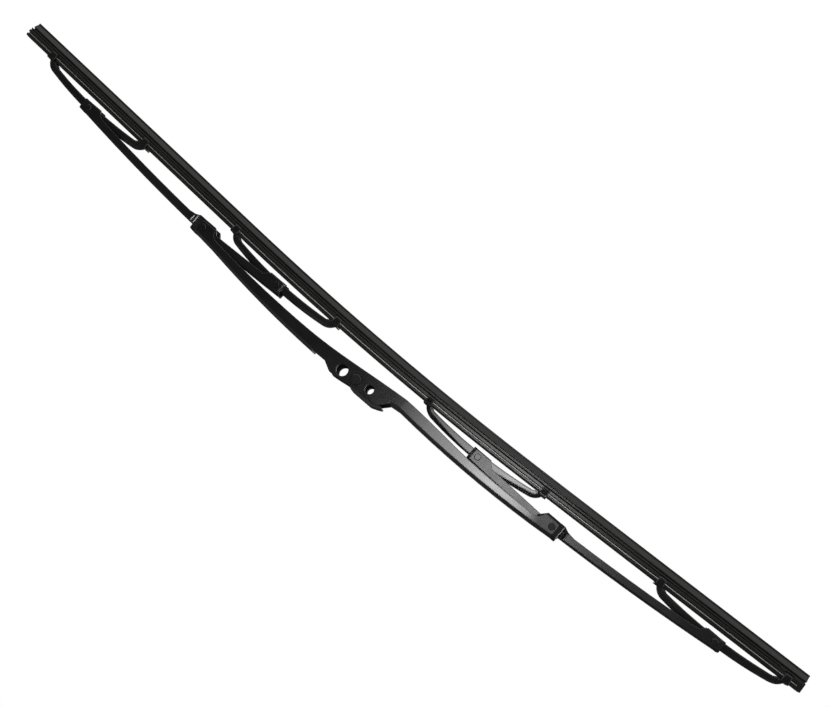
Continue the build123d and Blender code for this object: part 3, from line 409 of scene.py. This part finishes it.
# Each step of a head: radius at its foot and crown, then start and height, as shares of the head.
round_sides, first_step, second_step = 40, (1.0, 0.97, 0.0, 0.6), (0.97, 0.84, 0.6, 0.4)
shank = rivet_tree.nodes.new("GeometryNodeMeshCylinder")
shank.inputs["Vertices"].default_value = round_sides
rivet_tree.links.new(sizes.outputs["Shank radius"], shank.inputs["Radius"])
rivet_tree.links.new(sizes.outputs["Grip"], shank.inputs["Depth"])
rivet_tree.links.new(shank.outputs["Mesh"], joined.inputs["Geometry"])
half_grip = times("Grip", 0.5)
for turn in (0.0, radians(180)):
    for foot, crown, start, tall in (first_step, second_step):
        step = rivet_tree.nodes.new("GeometryNodeMeshCone")
        step.inputs["Vertices"].default_value = round_sides
        rivet_tree.links.new(times("Head radius", foot), step.inputs["Radius Bottom"])
        rivet_tree.links.new(times("Head radius", crown), step.inputs["Radius Top"])
        rivet_tree.links.new(times("Head height", tall), step.inputs["Depth"])
        lift = rivet_tree.nodes.new("ShaderNodeMath")
        rivet_tree.links.new(times("Head height", start), lift.inputs[0])
        rivet_tree.links.new(half_grip, lift.inputs[1])
        offset = rivet_tree.nodes.new("ShaderNodeCombineXYZ")
        rivet_tree.links.new(lift.outputs[0], offset.inputs["Z"])
        raised = rivet_tree.nodes.new("GeometryNodeTransform")
        rivet_tree.links.new(step.outputs["Mesh"], raised.inputs["Geometry"])
        rivet_tree.links.new(offset.outputs["Vector"], raised.inputs["Translation"])
        flipped = rivet_tree.nodes.new("GeometryNodeTransform")
        flipped.inputs["Rotation"].default_value = (turn, 0.0, 0.0)
        rivet_tree.links.new(raised.outputs["Geometry"], flipped.inputs["Geometry"])
        rivet_tree.links.new(flipped.outputs["Geometry"], joined.inputs["Geometry"])
laid = rivet_tree.nodes.new("GeometryNodeTransform")
laid.inputs["Rotation"].default_value = (radians(90), 0.0, 0.0)
rivet_tree.links.new(joined.outputs["Geometry"], laid.inputs["Geometry"])
placed = rivet_tree.nodes.new("GeometryNodeInstanceOnPoints")
rivet_tree.links.new(sizes.outputs["Pivots"], placed.inputs["Points"])
rivet_tree.links.new(laid.outputs["Geometry"], placed.inputs["Instance"])
real = rivet_tree.nodes.new("GeometryNodeRealizeInstances")
rivet_tree.links.new(placed.outputs["Instances"], real.inputs["Geometry"])
finish = rivet_tree.nodes.new("GeometryNodeSetMaterial")
rivet_tree.links.new(sizes.outputs["Finish"], finish.inputs["Material"])
rivet_tree.links.new(real.outputs["Geometry"], finish.inputs["Geometry"])
rivet_tree.links.new(finish.outputs["Geometry"], result.inputs["Rivets"])


def grown(name, base_mesh, tree, values):
    """Run a node tree on a base mesh once and return an object that holds the plain result."""
    piece = bpy.data.objects.new(name, base_mesh)
    scene.collection.objects.link(piece)
    grower = piece.modifiers.new("grower", "NODES")
    grower.node_group = tree
    for item in tree.interface.items_tree:
        if item.in_out == "INPUT" and item.name in values:
            grower[item.identifier] = values[item.name]
    evaluated = piece.evaluated_get(bpy.context.evaluated_depsgraph_get())
    plain = bpy.data.meshes.new_from_object(evaluated)
    piece.modifiers.remove(grower)
    piece.data = plain
    tidy = bmesh.new()
    tidy.from_mesh(plain)
    bmesh.ops.remove_doubles(tidy, verts=tidy.verts, dist=1e-7)
    bmesh.ops.recalc_face_normals(tidy, faces=tidy.faces)
    for face in tidy.faces:
        face.smooth = True
    tidy.to_mesh(plain)
    tidy.free()
    plain.set_sharp_from_angle(angle=radians(14))
    return piece


main_rivet = {"Shank radius": 0.0016, "Head radius": 0.00195, "Head height": 0.00055, "Grip": 0.013}
claw_rivet = {"Shank radius": 0.001, "Head radius": 0.0018, "Head height": 0.00055, "Grip": 0.0091}
hub_pin = {"Shank radius": 0.0024, "Head radius": 0.00305, "Head height": 0.0004, "Grip": 0.0144}
main_pins = ("main_rivet_left", "main_rivet_right")
left_pins = ("claw_rivet_outer_left", "claw_rivet_inner_left")
right_pins = ("claw_rivet_outer_right", "claw_rivet_inner_right")
for name, body, pins, values, finish in (
    ("rivets_primary", "primary", main_pins, main_rivet, main_rivet_paint),
    ("rivets_secondary_left", "secondary_left", left_pins, claw_rivet, claw_rivet_paint),
    ("rivets_secondary_right", "secondary_right", right_pins, claw_rivet, claw_rivet_paint),
    ("hub_pin", "primary", ("cross_pin",), hub_pin, pin_paint),
):
    pivots = bpy.data.meshes.new(f"pivots_{name}")
    centres = [(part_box(pin)[0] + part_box(pin)[1]) / 2 for pin in pins]
    pivots.from_pydata(centres, [], [])
    set_of_pins = grown(name, pivots, rivet_tree, {**values, "Finish": finish})
    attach(set_of_pins, body)
    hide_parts(*pins)

# Liner ribs: upright ribs on the liners' sleeves and collars, moulded with them and polished in the
# tool. Each rises in a ramp on its hub side, so that the yoke's edge slides over it.
rib_nylon = moulded_nylon("rib_nylon", jet_black, pale_black, 0.22, 1900.0, 0.8)
rib_tree = bpy.data.node_groups.new("liner_rib", "GeometryNodeTree")
rib_tree.interface.new_socket("Lines", in_out="INPUT", socket_type="NodeSocketGeometry")
for socket in ("Ramp", "Land", "Height"):
    rib_tree.interface.new_socket(socket, in_out="INPUT", socket_type="NodeSocketFloat")
rib_tree.interface.new_socket("Finish", in_out="INPUT", socket_type="NodeSocketMaterial")
rib_tree.interface.new_socket("Ribs", in_out="OUTPUT", socket_type="NodeSocketGeometry")
sizes = rib_tree.nodes.new("NodeGroupInput")
result = rib_tree.nodes.new("NodeGroupOutput")
foot_to_foot = rib_tree.nodes.new("ShaderNodeMath")
rib_tree.links.new(sizes.outputs["Ramp"], foot_to_foot.inputs[0])
rib_tree.links.new(sizes.outputs["Land"], foot_to_foot.inputs[1])
outline = rib_tree.nodes.new("GeometryNodeCurvePrimitiveQuadrilateral")
outline.mode = "POINTS"
sunk = -0.00005
for number, along, proud in (
    (1, None, None),
    (2, sizes.outputs["Ramp"], sizes.outputs["Height"]),
    (3, foot_to_foot.outputs[0], sizes.outputs["Height"]),
    (4, foot_to_foot.outputs[0], None),
):
    corner = rib_tree.nodes.new("ShaderNodeCombineXYZ")
    corner.inputs["Y"].default_value = sunk
    if along:
        rib_tree.links.new(along, corner.inputs["X"])
    if proud:
        rib_tree.links.new(proud, corner.inputs["Y"])
    rib_tree.links.new(corner.outputs["Vector"], outline.inputs[f"Point {number}"])
line = rib_tree.nodes.new("GeometryNodeMeshToCurve")
rib_tree.links.new(sizes.outputs["Lines"], line.inputs["Mesh"])
swept = rib_tree.nodes.new("GeometryNodeCurveToMesh")
swept.inputs["Fill Caps"].default_value = True
rib_tree.links.new(line.outputs["Curve"], swept.inputs["Curve"])
rib_tree.links.new(outline.outputs["Curve"], swept.inputs["Profile Curve"])
real = rib_tree.nodes.new("GeometryNodeRealizeInstances")
rib_tree.links.new(swept.outputs["Mesh"], real.inputs["Geometry"])
finish = rib_tree.nodes.new("GeometryNodeSetMaterial")
rib_tree.links.new(sizes.outputs["Finish"], finish.inputs["Material"])
rib_tree.links.new(real.outputs["Geometry"], finish.inputs["Geometry"])
rib_tree.links.new(finish.outputs["Geometry"], result.inputs["Ribs"])


def merged(first, *others):
    """Join other pieces' meshes into the first piece."""
    whole = bmesh.new()
    for piece in (first, *others):
        whole.from_mesh(piece.data)
    whole.to_mesh(first.data)
    whole.free()
    for piece in others:
        bpy.data.objects.remove(piece)
    return first


# Ribs, rubber and rails are measured from the blade's middle, which lies here along X, in millimetres.
blade_middle = -12.2


def rib_pair(name, side, foot, half_width, low, high, ramp, land, height):
    """One rib on the near wall and one on the far wall, in millimetres from the blade's middle."""
    x = (side * foot + blade_middle) / 1000
    wall, low, high = half_width / 1000, low / 1000, high / 1000
    lines = bpy.data.meshes.new(f"lines_{name}")
    lines.from_pydata(
        [(x, -wall, high), (x, -wall, low), (x, wall, low), (x, wall, high)], [(0, 1), (2, 3)], []
    )
    values = {"Ramp": side * ramp / 1000, "Land": side * land / 1000, "Height": height / 1000}
    return grown(name, lines, rib_tree, {**values, "Finish": rib_nylon})


for hand, side in (("left", -1), ("right", 1)):
    main_ribs = merged(
        rib_pair(f"ribs_main_{hand}", side, 125.75, 5.5, -12.3, -7.6, 1.05, 0.05, 0.3),
        rib_pair("outer_rib", side, 127.7, 5.5, -11.2, -7.7, 0.95, 0.35, 0.27),
        rib_pair("collar_band", side, 125.05, 6.5, -13.2, -5.2, 0.1, 0.5, 0.08),
    )
    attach(main_ribs, "primary")
    low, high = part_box(f"claw_rivet_inner_{hand}")
    collar_reach = 4.4
    collar_end = side * ((low.x + high.x) * 500 - blade_middle) - collar_reach
    pivot_z = (low.z + high.z) * 500
    collar_rib = (4.55, pivot_z - 3.0, pivot_z + 2.0, 0.45, 0.1, 0.06)
    claw_ribs = merged(
        rib_pair(f"ribs_claw_{hand}", side, collar_end + 0.1, *collar_rib),
        rib_pair("second_rib", side, collar_end + 0.8, *collar_rib),
    )
    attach(claw_ribs, f"secondary_{hand}")

# Wiping element: one length of extruded rubber. A head with a slot in each side for the rails, a
# seat with a flat flange between the jaws, a groove, two wings, a thin neck and a tapered lip.
rubber = bpy.data.materials.new("graphited_rubber")
rubber.use_nodes = True
tree = rubber.node_tree
skin = tree.nodes["Principled BSDF"]
skin.inputs["Specular IOR Level"].default_value = 0.33
place = tree.nodes.new("ShaderNodeTexCoord")
drawn = tree.nodes.new("ShaderNodeMapping")
drawn.inputs["Scale"].default_value = (9.0, 900.0, 900.0)
tree.links.new(place.outputs["Object"], drawn.inputs["Vector"])
streaks = tree.nodes.new("ShaderNodeTexNoise")
streaks.inputs["Scale"].default_value = 1.0
streaks.inputs["Detail"].default_value = 4.0
tree.links.new(drawn.outputs["Vector"], streaks.inputs["Vector"])
bloom = tree.nodes.new("ShaderNodeTexNoise")
bloom.inputs["Scale"].default_value = 45.0
bloom.inputs["Detail"].default_value = 6.0
tree.links.new(place.outputs["Object"], bloom.inputs["Vector"])
mixed = tree.nodes.new("ShaderNodeMix")
mixed.inputs["Factor"].default_value = 0.45
tree.links.new(streaks.outputs["Fac"], mixed.inputs["A"])
tree.links.new(bloom.outputs["Fac"], mixed.inputs["B"])
tone = tree.nodes.new("ShaderNodeValToRGB")
tone.color_ramp.elements[0].position, tone.color_ramp.elements[1].position = 0.3, 0.72
tone.color_ramp.elements[0].color = (0.010, 0.0095, 0.009, 1)
tone.color_ramp.elements[1].color = (0.022, 0.021, 0.0197, 1)
tree.links.new(mixed.outputs["Result"], tone.inputs["Fac"])
tree.links.new(tone.outputs["Color"], skin.inputs["Base Color"])
sheen = tree.nodes.new("ShaderNodeMapRange")
sheen.inputs["To Min"].default_value, sheen.inputs["To Max"].default_value = 0.2, 0.28
tree.links.new(mixed.outputs["Result"], sheen.inputs["Value"])
tree.links.new(sheen.outputs["Result"], skin.inputs["Roughness"])
relief = tree.nodes.new("ShaderNodeBump")
relief.inputs["Strength"].default_value = 0.25
relief.inputs["Distance"].default_value = 0.0001
tree.links.new(streaks.outputs["Fac"], relief.inputs["Height"])
tree.links.new(relief.outputs["Normal"], skin.inputs["Normal"])

strip_tree = bpy.data.node_groups.new("strip_along_blade", "GeometryNodeTree")
strip_tree.interface.new_socket("Section", in_out="INPUT", socket_type="NodeSocketGeometry")
for socket in ("From", "To", "Station length", "Middle", "Head top", "Bow radius", "Arc reach"):
    strip_tree.interface.new_socket(socket, in_out="INPUT", socket_type="NodeSocketFloat")
strip_tree.interface.new_socket("Finish", in_out="INPUT", socket_type="NodeSocketMaterial")
strip_tree.interface.new_socket("Strip", in_out="OUTPUT", socket_type="NodeSocketGeometry")
sizes = strip_tree.nodes.new("NodeGroupInput")
result = strip_tree.nodes.new("NodeGroupOutput")


def reckon(operation, first, second):
    """A sum of two sockets or numbers, as a socket."""
    node = strip_tree.nodes.new("ShaderNodeMath")
    node.operation = operation
    for value, socket in ((first, node.inputs[0]), (second, node.inputs[1])):
        if isinstance(value, float):
            socket.default_value = value
        elif value is not None:
            strip_tree.links.new(value, socket)
    return node.outputs[0]


ends = []
for socket in ("From", "To"):
    end = strip_tree.nodes.new("ShaderNodeCombineXYZ")
    strip_tree.links.new(sizes.outputs[socket], end.inputs["X"])
    ends.append(end.outputs["Vector"])
chord = strip_tree.nodes.new("GeometryNodeMeshLine")
chord.mode, chord.count_mode = "END_POINTS", "TOTAL"
strip_tree.links.new(ends[0], chord.inputs["Start Location"])
strip_tree.links.new(ends[1], chord.inputs["Offset"])
run = reckon("SUBTRACT", sizes.outputs["To"], sizes.outputs["From"])
steps = reckon("CEIL", reckon("DIVIDE", run, sizes.outputs["Station length"]), None)
strip_tree.links.new(reckon("ADD", steps, 1.0), chord.inputs["Count"])
where = strip_tree.nodes.new("GeometryNodeInputPosition")
along = strip_tree.nodes.new("ShaderNodeSeparateXYZ")
strip_tree.links.new(where.outputs["Position"], along.inputs[0])
reach = reckon("ABSOLUTE", along.outputs["X"], None)
on_arc = reckon("MINIMUM", reach, sizes.outputs["Arc reach"])
bow_diameter = reckon("MULTIPLY", sizes.outputs["Bow radius"], 2.0)
arc_drop = reckon("DIVIDE", reckon("MULTIPLY", on_arc, on_arc), bow_diameter)
wing_slope = reckon("DIVIDE", sizes.outputs["Arc reach"], sizes.outputs["Bow radius"])
wing_drop = reckon("MULTIPLY", reckon("SUBTRACT", reach, on_arc), wing_slope)
bowed = strip_tree.nodes.new("ShaderNodeCombineXYZ")
strip_tree.links.new(reckon("ADD", along.outputs["X"], sizes.outputs["Middle"]), bowed.inputs["X"])
height = reckon("SUBTRACT", reckon("SUBTRACT", sizes.outputs["Head top"], arc_drop), wing_drop)
strip_tree.links.new(height, bowed.inputs["Z"])
line = strip_tree.nodes.new("GeometryNodeSetPosition")
strip_tree.links.new(chord.outputs["Mesh"], line.inputs["Geometry"])
strip_tree.links.new(bowed.outputs["Vector"], line.inputs["Position"])
path = strip_tree.nodes.new("GeometryNodeMeshToCurve")
strip_tree.links.new(line.outputs["Geometry"], path.inputs["Mesh"])
upright = strip_tree.nodes.new("GeometryNodeSetCurveNormal")
upright.mode = "Z_UP"
strip_tree.links.new(path.outputs["Curve"], upright.inputs["Curve"])
section = strip_tree.nodes.new("GeometryNodeMeshToCurve")
strip_tree.links.new(sizes.outputs["Section"], section.inputs["Mesh"])
swept = strip_tree.nodes.new("GeometryNodeCurveToMesh")
swept.inputs["Fill Caps"].default_value = True
strip_tree.links.new(upright.outputs["Curve"], swept.inputs["Curve"])
strip_tree.links.new(section.outputs["Curve"], swept.inputs["Profile Curve"])
real = strip_tree.nodes.new("GeometryNodeRealizeInstances")
strip_tree.links.new(swept.outputs["Mesh"], real.inputs["Geometry"])
finish = strip_tree.nodes.new("GeometryNodeSetMaterial")
strip_tree.links.new(sizes.outputs["Finish"], finish.inputs["Material"])
strip_tree.links.new(real.outputs["Geometry"], finish.inputs["Geometry"])
strip_tree.links.new(finish.outputs["Geometry"], result.inputs["Strip"])


def section_mesh(name, outline, rounding):
    """Closed section as (across, depth) in millimetres, with each corner rounded."""
    loop = []
    for index, corner in enumerate(outline):
        here, following = Vector(corner), outline[(index + 1) % len(outline)]
        before, after = Vector(outline[index - 1]) - here, Vector(following) - here
        cut = min(rounding, before.length * 0.4, after.length * 0.4)
        first, last = here + before.normalized() * cut, here + after.normalized() * cut
        loop += [first, (first + here * 2 + last) / 4, last]
    mesh = bpy.data.meshes.new(name)
    edges = [(k, (k + 1) % len(loop)) for k in range(len(loop))]
    mesh.from_pydata([(p.x / 1000, p.y / 1000, 0) for p in loop], edges, [])
    return mesh


def strip(name, section, start, stop, finish):
    """A strip along the blade between two distances from its middle, in millimetres."""
    line = {
        "From": start / 1000,
        "To": stop / 1000,
        "Station length": 0.004,
        "Middle": blade_middle / 1000,
        "Head top": -0.0157,
        "Bow radius": 2.0,
        "Arc reach": 0.1,
        "Finish": finish,
    }
    return grown(name, section, strip_tree, line)


rubber_half = [
    (1.9, 0.0),
    (2.45, 0.22),
    (2.65, 0.7),
    (2.65, 1.6),
    (1.5, 1.6),
    (1.5, 2.4),
    (3.0, 2.4),
    (3.0, 3.0),
    (2.0, 3.0),
    (2.0, 4.1),
    (2.4, 4.5),
    (3.0, 4.5),
    (3.0, 5.2),
    (0.6, 5.2),
    (0.6, 5.95),
    (1.9, 5.95),
    (1.9, 6.55),
    (0.5, 8.75),
    (0.45, 9.95),
]
rubber_outline = rubber_half + [(-across, depth) for across, depth in reversed(rubber_half)]
jaw, gap = (252.6, 178.2, 106.6, 32.2), 142.4
locked_end, free_end = -261.2, 274.0
stretches = (
    ("outer_left", locked_end, -jaw[1], ("claw_outer_left",)),
    ("bend_outer_left", -jaw[1], -gap, ("claw_outer_left", "secondary_left")),
    ("bend_inner_left", -gap, -jaw[2], ("secondary_left", "claw_inner_left")),
    ("inner_left", -jaw[2], -jaw[3], ("claw_inner_left",)),
    ("middle", -jaw[3], jaw[3], ("element",)),
    ("inner_right", jaw[3], jaw[2], ("claw_inner_right",)),
    ("bend_inner_right", jaw[2], gap, ("claw_inner_right", "secondary_right")),
    ("bend_outer_right", gap, jaw[1], ("secondary_right", "claw_outer_right")),
    ("outer_right", jaw[1], free_end, ("claw_outer_right",)),
)


def flange_runs(start, stop):
    """Runs of the seat's flange in a stretch: it stops short of each jaw on both sides."""
    runs, here, clear = [], start, 2.5
    for centre in (*(-reach for reach in jaw), *reversed(jaw)):
        if start - clear < centre < stop + clear:
            if centre - clear > here:
                runs.append((here, centre - clear))
            here = centre + clear
    return runs + [(here, stop)] if stop > here else runs


def carried(piece, bodies):
    """Let a stretch of the element follow a claw, or, where it lies between a claw and its secondary,
    stay fixed where it is.
    """
    if len(bodies) == 1:
        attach(piece, bodies[0])
    else:
        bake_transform(piece)


def slab(half_width, top, foot):
    """Outline of a block across the whole rubber, between two depths."""
    return [(half_width, top), (half_width, foot), (-half_width, foot), (-half_width, top)]


block, bump, flange = slab(3.0, 0.0, 4.6), slab(3.0, 2.9, 4.6), slab(3.02, 2.45, 4.05)
slimmer, shallower, mid_depth = 0.985, 0.99, 5.0
tongue = [
    (across * slimmer, mid_depth + (depth - mid_depth) * shallower)
    for across, depth in rubber_outline
]
bump_start, bump_stop, block_stop = -250.1, -247.1, -255.1
tongue_reach, tongue_root = 2.5, 1.0
rubber_rounding, added_rounding, rail_rounding = 0.22, 0.25, 0.12
for name, start, stop, bodies in stretches:
    section = section_mesh(f"rubber_section_{name}", rubber_outline, rubber_rounding)
    length = strip(f"rubber_{name}", section, start, stop, rubber)
    added = []
    if name == "outer_left":
        added = [
            ("end_block", block, start, block_stop),
            ("lock_bump", bump, bump_start, bump_stop),
        ]
    elif name == "middle":
        added = [
            ("tongue_left", tongue, start - tongue_reach, start + tongue_root),
            ("tongue_right", tongue, stop - tongue_root, stop + tongue_reach),
        ]
    for first, last in flange_runs(max(start, bump_stop), stop):
        added.append(("flange", flange, first, last))
    for extra, outline, first, last in added:
        section = section_mesh(f"{extra}_section", outline, added_rounding)
        merged(length, strip(extra, section, first, last, rubber))
    carried(length, bodies)
    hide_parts("rubber_element")

# Rails: two bright strips of spring steel, slit from coil and straightened with a bow, slid into
# the side slots of the rubber's head, so that the claws' load is spread along the whole lip.
rail_steel = bpy.data.materials.new("rail_steel")
rail_steel.use_nodes = True
tree = rail_steel.node_tree
steel = tree.nodes["Principled BSDF"]
steel.inputs["Metallic"].default_value = 1.0
place = tree.nodes.new("ShaderNodeTexCoord")
drawn = tree.nodes.new("ShaderNodeMapping")
drawn.inputs["Scale"].default_value = (14.0, 2500.0, 2500.0)
tree.links.new(place.outputs["Object"], drawn.inputs["Vector"])
rolled = tree.nodes.new("ShaderNodeTexNoise")
rolled.inputs["Scale"].default_value = 1.0
rolled.inputs["Detail"].default_value = 3.0
tree.links.new(drawn.outputs["Vector"], rolled.inputs["Vector"])
tone = tree.nodes.new("ShaderNodeValToRGB")
tone.color_ramp.elements[0].color = (0.27, 0.27, 0.265, 1)
tone.color_ramp.elements[1].color = (0.44, 0.44, 0.432, 1)
tree.links.new(rolled.outputs["Fac"], tone.inputs["Fac"])
tree.links.new(tone.outputs["Color"], steel.inputs["Base Color"])
sheen = tree.nodes.new("ShaderNodeMapRange")
sheen.inputs["To Min"].default_value, sheen.inputs["To Max"].default_value = 0.42, 0.5
tree.links.new(rolled.outputs["Fac"], sheen.inputs["Value"])
tree.links.new(sheen.outputs["Result"], steel.inputs["Roughness"])
relief = tree.nodes.new("ShaderNodeBump")
relief.inputs["Strength"].default_value = 0.15
relief.inputs["Distance"].default_value = 0.00005
tree.links.new(rolled.outputs["Fac"], relief.inputs["Height"])
tree.links.new(relief.outputs["Normal"], steel.inputs["Normal"])
rail_start, rail_stop = -258.0, 272.2
root, edge, top, foot = 1.5, 3.4, 1.6, 2.1
for name, start, stop, bodies in stretches:
    first, last = max(start, rail_start), min(stop, rail_stop)
    strips = []
    for side, sign in (("front", 1), ("rear", -1)):
        outline = [(sign * root, top), (sign * edge, top), (sign * edge, foot), (sign * root, foot)]
        section = section_mesh(f"rail_section_{side}", outline, rail_rounding)
        strips.append(strip(f"rails_{name}_{side}", section, first, last, rail_steel))
    rails = merged(*strips)
    rails.name = f"rails_{name}"
    carried(rails, bodies)
    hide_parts("rail_front", "rail_rear")

low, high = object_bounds()
